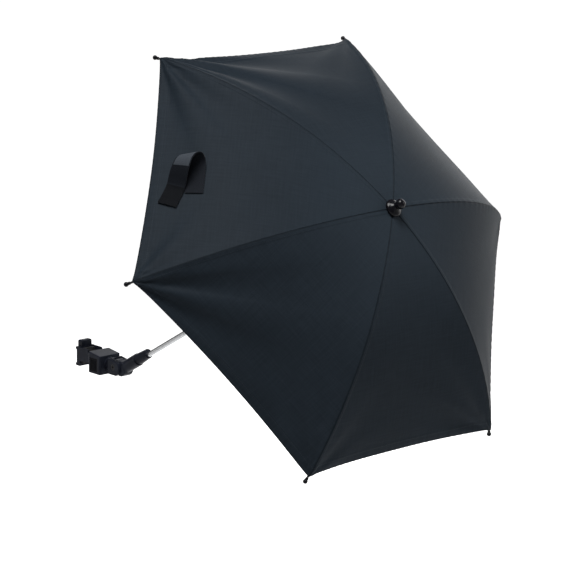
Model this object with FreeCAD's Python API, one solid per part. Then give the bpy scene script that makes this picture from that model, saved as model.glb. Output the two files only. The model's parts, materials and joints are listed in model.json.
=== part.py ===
import FreeCAD, Part
import math
import os

from FreeCAD import Placement, Rotation, Vector

# A pram parasol. Millimetres, +Z up. The origin is the centre of the clamp's grip on an upright pram
# tube, and +X points from the clamp along the heading of the shaft. Parts above the tilt joint are made
# in the parasol's own frame: z along the shaft from a point on its axis, x to the lowest side, y as here.

# Pose of the shaft
SHAFT_RISE = 30.5
SHAFT_BASE = Vector(97.5, 0, 6.8)

# Canopy and ribs: every rib is an arc about a point on the shaft's axis
RIBS = 6
TIP_RADIUS = 350.0
TIP_HEIGHT = 482.0
RIB_RISE = 147.0
RIB_WIRE_R = 1.5
FABRIC_LIFT = 1.9
FABRIC_T = 0.8
CORNER_RADIUS = 343.0
HEM_INSET = 5.5
FABRIC_HOLE_R = 5.5
SECTOR_GAP = 0.3

# Fold linkage: equal arms, so the stretcher's inner end keeps to its circle round the shaft
HINGE_RADIUS = 9.0
NOTCH_DROP = 2.0
JOINT_RADIUS = 170.0
JOINT_DROP = 5.0
EYE_R = 2.4
EYE_T = 1.8
SLOT_W = 2.4
SLOT_ROOT_R = 6.2
PIN_R = 0.8
RUN_CLEARANCE = 0.05
RIVET_R = 1.0
LUG_T = 1.6
LUG_R = 2.6
CHEEK_IN = 1.1
CHEEK_OUT = 2.2
TAB_LENGTH = 22.0

# Shaft, runner and top
SHAFT_R = 4.0
SHAFT_BORE = 3.2
SHAFT_FOOT = 4.0
SHAFT_TOP = 634.0
RUNNER_CROWN_R = 12.5
RUNNER_CROWN_H = 9.0
RUNNER_SLEEVE_L = 40.5
RUNNER_FLANGE_R = 13.0
RUNNER_FLANGE_T = 4.0
RUNNER_SKIRT_R = 8.5
RUNNER_SKIRT_L = 9.0
RUNNER_TRAVEL = 246.1
NOTCH_R = 11.5
NOTCH_H = 11.4
CATCH_T = 1.6
CATCH_L = 14.0
CATCH_REACH = 8.0
CAP_FLARE_R = 12.5
CAP_KNOB_R = 7.0
CAP_KNOB_UP = 166.0

# Tube socket: an elbow from the tilt joint to a sleeve round the shaft
KNUCKLE_Z = -23.0
KNUCKLE_R = 12.0
KNUCKLE_HALF = 9.5
SLEEVE_RISE = 2.0
SOCKET_STEP = 17.5
SOCKET_END = 44.0
ELBOW_R = 9.8
SLEEVE_R = 8.9
SLEEVE_END_R = 7.4
TONGUE_R = 11.0
TONGUE_HALF = 6.3
SET_SCREW_R = 1.6
SET_SCREW_Z = 30.0
SET_SCREW_L = 5.0

# Clamp on the pram tube
TUBE_R = 11.0
PAD_FACE = 8.8
PAD_HALF_Y = 11.2
PAD_HALF_Z = 12.0
GAP_HALF = 14.0
BODY_END = 42.5
BODY_HALF_Y = 20.0
BODY_BOTTOM = -18.3
BODY_TOP_JAW = 14.2
BODY_TOP_KNUCKLE = 10.6
JAW_HALF_Y = 14.2
JAW_Z = (-15.7, 14.0)
JAW_PLATE = 7.5
JAW_LIP = 2.2
JAW_LIP_H = 4.5
FIN_X = (-23.7, -14.5)
FIN_HALF_Y = 9.5
FIN_TOP = 24.0
ARM_T = 2.4
ARM_BOTTOM = -7.6
ARM_TOP = 8.5
ARM_END = 28.0
SHOULDER_END = 6.2
SHOULDER_TOP = 13.0
TOOTH_PITCH = 2.5
TOOTH_H = 1.0
CLEAR = 0.3
BUTTON_X = (18.0, 35.5)
BUTTON_Z = (-15.0, 5.5)
BUTTON_PROUD = -0.6
BUTTON_T = 1.9
BUTTON_RECESS = 15.4
BUTTON_RIDGES = (20.8, 24.0, 27.2, 30.4)
STEM_X = (19.5, 24.5)
STEM_Z = (-14.2, -11.3)
STEM_END = -5.0
SPRING_SEAT = 6.0
PAWL_X = (17.4, 27.0)
PAWL_TOP = 4.0
PAWL_ROOM = 0.8
NUT_X = (34.5, 39.1)
NUT_R = 5.2
NUT_ROOM = 0.4
COVER_X = (16.2, 40.0)
COVER_HALF_Y = 18.0
COVER_GAP = 0.2
COVER_T = 2.0
COVER_SCREWS = ((36.0, 12.6), (36.0, -12.6), (19.5, 14.5))
SCREW_R = 1.25
SCREW_HEAD_R = 2.4
SCREW_HEAD_T = 1.0
SCREW_L = 7.0

# Swivel disc and the fork of the tilt joint
SWIVEL_Z = -3.3
BASE_R = 11.5
BASE_END = 45.1
FACE_TEETH = 24
FACE_TOOTH_H = 1.2
FACE_TOOTH_R = (7.6, 10.3)
YOKE_FACE = 47.8
YOKE_BOSS_R = 11.2
YOKE_START = 54.0
YOKE_END_R = 14.0
YOKE_HALF_Y = 13.5
YOKE_BOTTOM = -14.8
YOKE_TOP_START = 9.6
YOKE_TOP_END = 5.6
YOKE_SLOT_HALF = 6.6
YOKE_RIDGES = 6
RIDGE_PITCH = 3.4
RIDGE_W = 1.8
RIDGE_H = 1.0
HINGE = Vector(65.5, 0, -2.2)
HINGE_ROOM = 0.6
BOLT_R = 3.0
BOLT_HEAD_R = 5.0
BOLT_HEAD_T = 3.2
BOLT_SEAT = 2.8
HEX_DRIVE_R = 1.8

# Tie strap: a hook-and-loop band sewn beside the rib's panel and closed into a loose loop
STRAP_W = 25.0
STRAP_T = 1.2
STRAP_RIB = 5
STRAP_AZIMUTH = 246.6
STRAP_RADIUS = 264.0
STRAP_LOOP_L = 44.0
STRAP_LOOP_R = 14.0
STRAP_TAB_L = 24.0
STRAP_LIFT = 1.6

# Worked out from the values above
RIB_R = (TIP_RADIUS ** 2 + RIB_RISE ** 2) / (2 * RIB_RISE)
ARC_Z = TIP_HEIGHT + RIB_RISE - RIB_R
FABRIC_R = RIB_R + FABRIC_LIFT + FABRIC_T
HALF_STEP = 180.0 / RIBS
TIP_ANGLE = math.degrees(math.asin(TIP_RADIUS / RIB_R))
JOINT_ANGLE = math.degrees(math.asin(JOINT_RADIUS / RIB_R))
NOTCH_Z = ARC_Z + RIB_R - NOTCH_DROP
JOINT_X = (RIB_R - JOINT_DROP) * math.sin(math.radians(JOINT_ANGLE))
JOINT_Z = ARC_Z + (RIB_R - JOINT_DROP) * math.cos(math.radians(JOINT_ANGLE))
RUNNER_Z = 2 * JOINT_Z - NOTCH_Z
ARM_LENGTH = math.hypot(JOINT_X - HINGE_RADIUS, NOTCH_Z - JOINT_Z)
FABRIC_TOP = ARC_Z + FABRIC_R
X, Y, Z = Vector(1, 0, 0), Vector(0, 1, 0), Vector(0, 0, 1)
ORIGIN = Vector(0, 0, 0)
PARASOL = Placement(SHAFT_BASE, Rotation(Y, 90 - SHAFT_RISE))
TONGUE_AT = PARASOL.inverse().multVec(HINGE)

os.makedirs("parts", exist_ok=True)


def box(x, y, z):
    """A block between two values on each axis."""
    return Part.makeBox(x[1] - x[0], y[1] - y[0], z[1] - z[0], Vector(x[0], y[0], z[0]))


def widened(span, margin):
    return (span[0] - margin, span[1] + margin)


def rod(radius, start, direction, length):
    return Part.makeCylinder(radius, length, start, direction)


def across(radius, x, z, half):
    """A cylinder along Y through (x, z), from -half to half."""
    return rod(radius, Vector(x, -half, z), Y, 2 * half)


def tube(outer, inner, start, direction, length):
    return rod(outer, start, direction, length).cut(rod(inner, start, direction, length))


def prism(points, axis_vector):
    """A straight-sided outline carried along a vector."""
    return Part.Face(Part.makePolygon(points + points[:1])).extrude(axis_vector)


def turned(profile):
    """A solid of revolution about z from (radius, height) points."""
    points = [Vector(r, 0, h) for r, h in profile]
    return Part.Face(Part.makePolygon(points + points[:1])).revolve(ORIGIN, Z, 360)


def rounded(shape, radius, keep):
    """Fillets every edge of the shape that the keep function picks."""
    return shape.makeFillet(radius, [e for e in shape.Edges if keep(e)])


def straight_along(edge, axis):
    if len(edge.Vertexes) < 2 or edge.Curve.TypeId != "Part::GeomLine":
        return False
    return abs(edge.Curve.Direction.dot(axis)) > 0.98


def fused(first, *others):
    return first.fuse(list(others)).removeSplitter()


def at_azimuth(shape, azimuth):
    """Turns a parasol piece about the shaft, then takes it to its place on the clamp."""
    copy = shape.copy()
    copy.rotate(ORIGIN, Z, azimuth)
    copy.Placement = PARASOL.multiply(copy.Placement)
    return copy


def on_shaft(shape):
    return at_azimuth(shape, 0)


def rib_azimuth(number):
    return HALF_STEP + (number - 1) * 2 * HALF_STEP


def save(node, shape):
    for solid in shape.Solids:
        if not solid.isValid():
            print("not valid:", node)
    print(node, len(shape.Solids), "solids", round(shape.Volume / 1000, 3), "cm3")
    shape.exportStep("parts/" + node + ".step")


# Clamp: housing, cover, jaw, pads and release


def clamp_body():
    side = [
        Vector(GAP_HALF, -BODY_HALF_Y, BODY_BOTTOM),
        Vector(BODY_END, -BODY_HALF_Y, BODY_BOTTOM),
        Vector(BODY_END, -BODY_HALF_Y, BODY_TOP_KNUCKLE),
        Vector(GAP_HALF, -BODY_HALF_Y, BODY_TOP_JAW),
    ]
    block = prism(side, Vector(0, 2 * BODY_HALF_Y, 0))
    block = rounded(block, 2.6, lambda e: straight_along(e, Z))
    block = rounded(block, 1.5, lambda e: e.BoundBox.ZMin > BODY_TOP_KNUCKLE - 0.1)
    arm_slot = (JAW_HALF_Y - ARM_T - CLEAR, JAW_HALF_Y + CLEAR)
    slot_z = (ARM_BOTTOM - CLEAR, ARM_TOP + TOOTH_H + CLEAR)
    slot_x = (GAP_HALF - 1, BODY_END - 2)
    nut_half = NUT_R + NUT_ROOM
    cuts = [
        box(slot_x, arm_slot, slot_z),
        box(slot_x, (-arm_slot[1], -arm_slot[0]), slot_z),
        box(widened(PAWL_X, PAWL_ROOM), (-arm_slot[0], SPRING_SEAT), (BODY_BOTTOM, PAWL_TOP + PAWL_ROOM)),
        box((NUT_X[0], COVER_X[1]), (-nut_half, nut_half), (BODY_BOTTOM, SWIVEL_Z + nut_half)),
        box(COVER_X, (-COVER_HALF_Y, COVER_HALF_Y), (BODY_BOTTOM, BODY_BOTTOM + COVER_T)),
        box(widened(BUTTON_X, CLEAR), (-BODY_HALF_Y, -BUTTON_RECESS), widened(BUTTON_Z, CLEAR)),
        box(widened(STEM_X, CLEAR), (-BODY_HALF_Y, -arm_slot[0]), widened(STEM_Z, CLEAR)),
        rod(BOLT_R, Vector(NUT_X[0], 0, SWIVEL_Z), X, BODY_END - NUT_X[0]),
    ]
    cuts += [rod(SCREW_R, Vector(x, y, BODY_BOTTOM), Z, SCREW_L + 2 * COVER_GAP) for x, y in COVER_SCREWS]
    return block.cut(cuts)


def clamp_cover():
    half_y = COVER_HALF_Y - COVER_GAP
    plate = box(widened(COVER_X, -COVER_GAP), (-half_y, half_y), (BODY_BOTTOM, BODY_BOTTOM + COVER_T))
    holes = []
    for x, y in COVER_SCREWS:
        foot = Vector(x, y, BODY_BOTTOM)
        holes.append(rod(SCREW_R, foot, Z, COVER_T))
        holes.append(rod(SCREW_HEAD_R, foot, Z, COVER_GAP + SCREW_HEAD_T))
    return plate.cut(holes)


def cover_screws():
    screws = []
    for x, y in COVER_SCREWS:
        foot = Vector(x, y, BODY_BOTTOM + COVER_GAP)
        screw = fused(rod(SCREW_HEAD_R, foot, Z, SCREW_HEAD_T), rod(SCREW_R, foot, Z, SCREW_L))
        drive = box((x - 0.4, x + 0.4), (y - 2, y + 2), (foot.z, foot.z + SCREW_HEAD_T / 2))
        screws.append(screw.cut(drive))
    return Part.makeCompound(screws)


def clamp_jaw():
    """A plate with lips on its outer face, a fin on top and two toothed arms with raised shoulders."""
    inner = -GAP_HALF
    plate = box((inner - JAW_PLATE, inner), (-JAW_HALF_Y, JAW_HALF_Y), JAW_Z)
    outer = inner - JAW_PLATE - JAW_LIP
    lips = [box((outer, inner), (-JAW_HALF_Y, JAW_HALF_Y), z)
            for z in ((JAW_Z[1] - JAW_LIP_H, JAW_Z[1]), (JAW_Z[0], JAW_Z[0] + JAW_LIP_H))]
    jaw = fused(plate, *lips)
    jaw = rounded(jaw, 1.5, lambda e: straight_along(e, Y) and e.BoundBox.XMax < outer + 0.1)
    fin = box(FIN_X, (-FIN_HALF_Y, FIN_HALF_Y), (JAW_Z[1] - 1, FIN_TOP))
    fin = rounded(fin, 2.4, lambda e: e.BoundBox.ZMin > FIN_TOP - 0.1)
    arms = [fin]
    for side in (-1, 1):
        y = sorted((side * (JAW_HALF_Y - ARM_T), side * JAW_HALF_Y))
        arms.append(box((inner - 1, ARM_END), y, (ARM_BOTTOM, ARM_TOP)))
        arms.append(box((inner - 1, SHOULDER_END), y, (ARM_TOP - 1, SHOULDER_TOP)))
        for first, last, top in ((inner, SHOULDER_END, SHOULDER_TOP), (SHOULDER_END, ARM_END, ARM_TOP)):
            for i in range(int((last - first) / TOOTH_PITCH)):
                x = first + i * TOOTH_PITCH
                tooth = [Vector(x, y[0], top), Vector(x + TOOTH_PITCH, y[0], top),
                         Vector(x + 0.6, y[0], top + TOOTH_H)]
                arms.append(prism(tooth, Vector(0, ARM_T, 0)))
    return fused(jaw, *arms)


def grip_pad(side):
    """A rubber pad on the jaw (side -1) or the housing (side 1), hollowed to the pram tube's radius."""
    x = sorted((side * PAD_FACE, side * GAP_HALF))
    pad = box(x, (-PAD_HALF_Y, PAD_HALF_Y), (-PAD_HALF_Z, PAD_HALF_Z))
    return pad.cut(rod(TUBE_R, Vector(0, 0, -PAD_HALF_Z - 1), Z, 2 * PAD_HALF_Z + 2))


def release_button():
    face = -BODY_HALF_Y - BUTTON_PROUD
    cap = box(BUTTON_X, (face, face + BUTTON_T), BUTTON_Z)
    cap = rounded(cap, 1.2, lambda e: straight_along(e, Y))
    ridges = [box((x, x + 1.2), (face - 0.5, face + 0.5), (BUTTON_Z[0] + 2.5, BUTTON_Z[1] - 2.5))
              for x in BUTTON_RIDGES]
    stem = box(STEM_X, (face + BUTTON_T - 0.5, STEM_END), STEM_Z)
    return fused(cap, stem, *ridges)


def ratchet_pawl():
    inner_face = -(JAW_HALF_Y - ARM_T)
    root = inner_face + 0.9
    plate = box(PAWL_X, (root, root + 1.5), (STEM_Z[1], PAWL_TOP))
    teeth = []
    for i in range(3):
        x = PAWL_X[0] + 1.0 + i * TOOTH_PITCH
        corner = [Vector(x, root, STEM_Z[1]), Vector(x + 2.0, root, STEM_Z[1]),
                  Vector(x + 0.5, inner_face + CLEAR, STEM_Z[1])]
        teeth.append(prism(corner, Z * (PAWL_TOP - STEM_Z[1])))
    return fused(plate, *teeth)


def button_spring():
    middle = Vector((STEM_X[0] + STEM_X[1]) / 2, STEM_END, (STEM_Z[0] + STEM_Z[1]) / 2)
    return tube(1.8, 1.1, middle, Y, SPRING_SEAT - STEM_END)


# Swivel and tilt joint


def face_teeth(x, height, direction):
    """A ring of wedge teeth on a disc that faces along X."""
    teeth = []
    half = 360.0 / FACE_TEETH * 0.3
    inner, outer = FACE_TOOTH_R
    corners = ((inner, -half), (outer, -half), (outer, half), (inner, half))
    for i in range(FACE_TEETH):
        base = [Vector(x, r * math.sin(math.radians(a)), r * math.cos(math.radians(a))) for r, a in corners]
        tooth = prism(base, Vector(direction * height, 0, 0))
        tooth.rotate(ORIGIN, X, i * 360.0 / FACE_TEETH)
        tooth.translate(Vector(0, 0, SWIVEL_Z))
        teeth.append(tooth)
    return teeth


def swivel_base():
    axis = Vector(0, 0, SWIVEL_Z)
    disc = rod(BASE_R, axis + X * BODY_END, X, BASE_END - BODY_END)
    return fused(disc, *face_teeth(BASE_END, FACE_TOOTH_H, 1)).cut(rod(BOLT_R, axis, X, BASE_END + 5))


def swivel_bolt():
    axis = Vector(0, 0, SWIVEL_Z)
    head_x = YOKE_FACE + BOLT_SEAT + CLEAR
    shank = rod(BOLT_R, axis + X * NUT_X[0], X, head_x + 1 - NUT_X[0])
    head = rod(BOLT_HEAD_R, axis + X * head_x, X, BOLT_HEAD_T)
    socket = rod(HEX_DRIVE_R, axis + X * (head_x + BOLT_HEAD_T - HEX_DRIVE_R), X, HEX_DRIVE_R)
    return fused(shank, head).cut(socket)


def hex_nut(radius, bore, start, direction, length):
    """A six-sided nut whose corners lie on the radius."""
    angles = [math.radians(60 * i) for i in range(6)]
    points = [Vector(radius * math.cos(a), radius * math.sin(a), 0) for a in angles]
    nut = prism(points, Vector(0, 0, length)).cut(rod(bore, Vector(0, 0, -1), Z, length + 2))
    nut.Placement = Placement(start, Rotation(Z, direction))
    return nut


def yoke_top(x):
    """Height of the fork's sloping top at x."""
    share = (x - YOKE_START) / (HINGE.x + YOKE_END_R - YOKE_START)
    return YOKE_TOP_START + share * (YOKE_TOP_END - YOKE_TOP_START)


def yoke_ridges():
    """Thumb ridges across the top of both cheeks."""
    ridges = []
    slope = math.degrees(math.atan2(YOKE_TOP_START - YOKE_TOP_END, HINGE.x + YOKE_END_R - YOKE_START))
    for i in range(YOKE_RIDGES):
        x = YOKE_START + 3 + i * RIDGE_PITCH
        for y in ((YOKE_SLOT_HALF + 1.2, YOKE_HALF_Y - 1.8), (-YOKE_HALF_Y + 1.8, -YOKE_SLOT_HALF - 1.2)):
            ridge = box((-RIDGE_W / 2, RIDGE_W / 2), y, (-1, RIDGE_H))
            ridge = rounded(ridge, 0.5, lambda e: straight_along(e, Y) and e.BoundBox.ZMin > 0)
            ridge.rotate(ORIGIN, Y, slope)
            ridge.translate(Vector(x, 0, yoke_top(x)))
            ridges.append(ridge)
    return ridges


def knuckle_yoke():
    """A boss on the swivel disc that opens into two cheeks, rounded about the tilt joint."""
    end = HINGE.x + YOKE_END_R + 1
    side = [
        Vector(YOKE_START, -YOKE_HALF_Y, YOKE_BOTTOM),
        Vector(end, -YOKE_HALF_Y, YOKE_BOTTOM),
        Vector(end, -YOKE_HALF_Y, yoke_top(end)),
        Vector(YOKE_START, -YOKE_HALF_Y, YOKE_TOP_START),
    ]
    block = prism(side, Vector(0, 2 * YOKE_HALF_Y, 0))
    behind = box((YOKE_START, HINGE.x), (-20, 20), (-30, 30))
    block = block.common(fused(across(YOKE_END_R, HINGE.x, HINGE.z, 20), behind))
    block = rounded(block, 1.4, lambda e: e.BoundBox.YLength < 0.01 and e.BoundBox.XLength > 0.01)
    axis = Vector(0, 0, SWIVEL_Z)
    boss = rod(YOKE_BOSS_R, axis + X * YOKE_FACE, X, YOKE_START + 2 - YOKE_FACE)
    slot_start = HINGE.x - TONGUE_R - HINGE_ROOM
    slot_y = (-YOKE_SLOT_HALF, YOKE_SLOT_HALF)
    seat = YOKE_FACE + BOLT_SEAT
    block = fused(block, boss, *yoke_ridges()).cut([
        box((slot_start, end + 1), slot_y, (YOKE_BOTTOM - 1, YOKE_TOP_START + 5)),
        rod(BOLT_R + RUN_CLEARANCE, axis, X, seat + 1),
        rod(BOLT_HEAD_R + 0.4, axis + X * seat, X, slot_start + 1 - seat),
        across(BOLT_R, HINGE.x, HINGE.z, 20),
        rod(BOLT_HEAD_R, Vector(HINGE.x, -YOKE_HALF_Y, HINGE.z), Y, BOLT_HEAD_T),
        rod(BOLT_HEAD_R, Vector(HINGE.x, YOKE_HALF_Y - BOLT_HEAD_T, HINGE.z), Y, BOLT_HEAD_T),
    ])
    return fused(block, *face_teeth(YOKE_FACE, FACE_TOOTH_H, -1))


def tilt_bolt():
    start = Vector(HINGE.x, -YOKE_HALF_Y, HINGE.z)
    shank = rod(BOLT_R, start, Y, 2 * YOKE_HALF_Y - 0.6)
    head = rod(BOLT_HEAD_R, start + Y * CLEAR, Y, BOLT_HEAD_T - CLEAR)
    socket = rod(HEX_DRIVE_R, start, Y, HEX_DRIVE_R)
    return fused(shank.cut(rod(BOLT_R, start, Y, CLEAR)), head).cut(socket)


def tilt_nut():
    start = Vector(HINGE.x, YOKE_HALF_Y - BOLT_HEAD_T, HINGE.z)
    return hex_nut(BOLT_HEAD_R - 0.1, BOLT_R, start, Y, BOLT_HEAD_T - 0.4)


# Socket, shaft and fittings, in the parasol's frame


def tube_socket():
    """A tongue in the fork, a round knuckle beyond the fork and a stepped sleeve, which stands a little
    higher than the bore that takes the shaft."""
    x, z = TONGUE_AT.x, TONGUE_AT.z
    middle = Vector(-SLEEVE_RISE, 0, KNUCKLE_Z)
    knuckle = rounded(across(KNUCKLE_R, middle.x, middle.z, KNUCKLE_HALF), 2.5, lambda e: len(e.Vertexes) < 2)
    sleeve = turned([
        (0, KNUCKLE_Z), (ELBOW_R, KNUCKLE_Z), (ELBOW_R, SOCKET_STEP - 0.6), (ELBOW_R - 0.6, SOCKET_STEP),
        (SLEEVE_R - 0.9, SOCKET_STEP), (SLEEVE_R - 0.9, SOCKET_STEP + 1.2), (SLEEVE_R, SOCKET_STEP + 1.8),
        (SLEEVE_END_R, SOCKET_END - 0.5), (SLEEVE_END_R - 0.4, SOCKET_END), (0, SOCKET_END),
    ])
    sleeve.translate(Vector(-SLEEVE_RISE, 0, 0))
    beyond = fused(knuckle, sleeve).cut(across(YOKE_END_R + HINGE_ROOM, x, z, 20))
    toward = Vector(middle.x - x, 0, middle.z - z).normalize()
    square = Vector(toward.z, 0, -toward.x) * (TONGUE_R - 1)
    corners = [Vector(x, 0, z) - square, middle - square, middle + square, Vector(x, 0, z) + square]
    neck = prism([corner - Y * TONGUE_HALF for corner in corners], Vector(0, 2 * TONGUE_HALF, 0))
    return fused(across(TONGUE_R, x, z, TONGUE_HALF), neck, beyond).cut([
        rod(SHAFT_R, Vector(0, 0, SHAFT_FOOT), Z, SOCKET_END),
        across(BOLT_R + RUN_CLEARANCE, x, z, 20),
        rod(SET_SCREW_R, Vector(0, 0, SET_SCREW_Z), X * -1, 14),
    ])


def socket_screw():
    """The set screw that grips the shaft, let into the socket's upper side."""
    screw = rod(SET_SCREW_R, Vector(-SHAFT_R, 0, SET_SCREW_Z), X * -1, SET_SCREW_L)
    drive = rod(SET_SCREW_R / 2, Vector(1 - SHAFT_R - SET_SCREW_L, 0, SET_SCREW_Z), X * -1, 2)
    return screw.cut([drive, rod(SHAFT_R, Vector(0, 0, SET_SCREW_Z - 10), Z, 20)])


def catch_spans():
    """Top and bottom heights of the two catches: one under the open runner, one over the closed one."""
    runner_foot = RUNNER_Z - RUNNER_CROWN_H / 2 - RUNNER_SLEEVE_L - RUNNER_FLANGE_T - RUNNER_SKIRT_L
    crown_top = RUNNER_Z + RUNNER_CROWN_H / 2 - RUNNER_TRAVEL
    return [(runner_foot - 0.6, runner_foot - 0.6 - CATCH_L), (crown_top + 0.6, crown_top + 0.6 + CATCH_L)]


def shaft_tube():
    shaft = tube(SHAFT_R, SHAFT_BORE, Vector(0, 0, SHAFT_FOOT), Z, SHAFT_TOP - SHAFT_FOOT)
    slot_x = (-SHAFT_R - 1, -SHAFT_BORE + 0.6)
    slot_y = (-CATCH_T / 2, CATCH_T / 2)
    slots = [box(slot_x, slot_y, (min(span) - 1, max(span) + 1)) for span in catch_spans()]
    return shaft.cut(slots)


def runner_catches():
    """Flat sprung tongues that stand out of the shaft's slots and hold the runner."""
    catches = []
    for stop, toe in catch_spans():
        outline = [Vector(-CATCH_REACH, -CATCH_T / 2, stop), Vector(-2.6, -CATCH_T / 2, stop),
                   Vector(-2.6, -CATCH_T / 2, toe), Vector(-SHAFT_R, -CATCH_T / 2, toe)]
        catches.append(prism(outline, Vector(0, CATCH_T, 0)))
    return Part.makeCompound(catches)


def shaft_plug():
    start = Vector(0, 0, SHAFT_TOP - 24)
    return rod(SHAFT_BORE, start, Z, 24).cut(rod(1.5, start, Z, 30))


def cap_screw():
    knob = TIP_HEIGHT + CAP_KNOB_UP
    return fused(rod(1.5, Vector(0, 0, SHAFT_TOP - 20), Z, knob - SHAFT_TOP + 20),
                 rod(2.6, Vector(0, 0, knob - 2.2), Z, 2.2))


def slots_round(height, half):
    """Six open slots for eyes, round a crown that stands at the height."""
    slots = []
    for number in range(1, RIBS + 1):
        slot = box((SLOT_ROOT_R, 30), (-SLOT_W / 2, SLOT_W / 2), (height - half, height + half))
        slot.rotate(ORIGIN, Z, rib_azimuth(number))
        slots.append(slot)
    return slots


def hinge_pin(extra):
    return across(PIN_R + extra, HINGE_RADIUS, NOTCH_Z, 2.9)


def top_notch():
    foot = NOTCH_Z - 8
    crown = tube(NOTCH_R, SHAFT_R, Vector(0, 0, foot), Z, NOTCH_H)
    pins = []
    for number in range(1, RIBS + 1):
        pin = hinge_pin(0)
        pin.rotate(ORIGIN, Z, rib_azimuth(number))
        pins.append(pin)
    return crown.cut(slots_round(NOTCH_Z, 20) + pins)


def notch_pins():
    pins = []
    for number in range(1, RIBS + 1):
        pin = hinge_pin(0)
        pin.rotate(ORIGIN, Z, rib_azimuth(number))
        pins.append(pin)
    return Part.makeCompound(pins)


def ferrule_cap():
    """A flared skirt on the fabric, a waist and a round knob."""
    foot = FABRIC_TOP + 0.5
    knob = TIP_HEIGHT + CAP_KNOB_UP
    waist = knob - CAP_KNOB_R * math.cos(math.radians(38))
    skirt = turned([
        (SHAFT_R, foot), (CAP_FLARE_R - 0.6, foot), (CAP_FLARE_R, foot + 1.2),
        (CAP_FLARE_R - 0.9, foot + 3.2), (CAP_FLARE_R - 4.2, foot + 6.0), (CAP_FLARE_R - 7.2, foot + 8.4),
        (CAP_KNOB_R - 1.6, waist - 1.0), (CAP_KNOB_R - 1.4, waist + 2.5), (0, waist + 2.5),
        (0, SHAFT_TOP), (SHAFT_R, SHAFT_TOP),
    ])
    ball = Part.makeSphere(CAP_KNOB_R, Vector(0, 0, knob))
    return fused(skirt, ball).cut(cap_screw())


def runner():
    top = RUNNER_Z + RUNNER_CROWN_H / 2
    crown_foot = RUNNER_Z - RUNNER_CROWN_H / 2
    sleeve_foot = crown_foot - RUNNER_SLEEVE_L
    flange_foot = sleeve_foot - RUNNER_FLANGE_T
    skirt_foot = flange_foot - RUNNER_SKIRT_L
    bore = SHAFT_R + RUN_CLEARANCE
    crown = tube(RUNNER_CROWN_R, bore, Vector(0, 0, crown_foot), Z, RUNNER_CROWN_H)
    crown = crown.cut(slots_round(RUNNER_Z, 20))
    body = turned([
        (bore, top), (SLOT_ROOT_R, top), (SLOT_ROOT_R, sleeve_foot), (RUNNER_FLANGE_R - 1, sleeve_foot),
        (RUNNER_FLANGE_R, sleeve_foot - 1), (RUNNER_FLANGE_R, flange_foot + 1),
        (RUNNER_FLANGE_R - 1, flange_foot), (RUNNER_SKIRT_R, flange_foot),
        (RUNNER_SKIRT_R - 1, skirt_foot), (bore, skirt_foot),
    ])
    return fused(crown, body)


# Ribs, tips, rivets, stretchers and fabric, made for azimuth 0


def rib_point(angle, radius=None):
    a = math.radians(angle)
    r = RIB_R if radius is None else radius
    return Vector(r * math.sin(a), 0, ARC_Z + r * math.cos(a))


def rib_wire(start, end, radius):
    """Round wire along the rib's arc between two angles from the shaft's axis."""
    a = math.radians(start)
    ring = Part.makeCircle(radius, rib_point(start), Vector(math.cos(a), 0, -math.sin(a)))
    return Part.Face(Part.Wire(ring)).revolve(Vector(0, 0, ARC_Z), Y, end - start)


def rib_length_angle(length):
    return math.degrees(length / RIB_R)


def rib():
    start = math.degrees(math.asin((HINGE_RADIUS + 8) / RIB_R))
    wire = rib_wire(start, TIP_ANGLE - rib_length_angle(1.5), RIB_WIRE_R)
    eye = across(EYE_R, HINGE_RADIUS, NOTCH_Z, EYE_T / 2)
    tab = box((HINGE_RADIUS, HINGE_RADIUS + 11), (-EYE_T / 2, EYE_T / 2), (NOTCH_Z - 1.2, NOTCH_Z + 2.2))
    foot = RIB_R - JOINT_DROP
    lug = fused(box((-2.2, 2.2), (-LUG_T / 2, LUG_T / 2), (ARC_Z + foot, ARC_Z + RIB_R)),
                across(LUG_R, 0, ARC_Z + foot, LUG_T / 2))
    lug.rotate(Vector(0, 0, ARC_Z), Y, JOINT_ANGLE)
    pin_hole = across(PIN_R + RUN_CLEARANCE, HINGE_RADIUS, NOTCH_Z, 5)
    rivet_hole = across(RIVET_R, JOINT_X, JOINT_Z, 5)
    return fused(wire, eye, tab, lug).cut([pin_hole, rivet_hole])


def rib_rivet():
    head = CHEEK_OUT + CLEAR
    return fused(across(RIVET_R, JOINT_X, JOINT_Z, head + 0.7),
                 rod(1.9, Vector(JOINT_X, head, JOINT_Z), Y, 0.7),
                 rod(1.9, Vector(JOINT_X, -head - 0.7, JOINT_Z), Y, 0.7))


def rib_tip():
    """A ball on a short cup that covers the rib's end."""
    ball = Part.makeSphere(3.3, rib_point(TIP_ANGLE))
    cup = rib_wire(TIP_ANGLE - rib_length_angle(5.5), TIP_ANGLE, 2.2)
    seat = rib_wire(TIP_ANGLE - rib_length_angle(8), TIP_ANGLE - rib_length_angle(1.5), RIB_WIRE_R)
    return fused(cup, ball).cut(seat)


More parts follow.
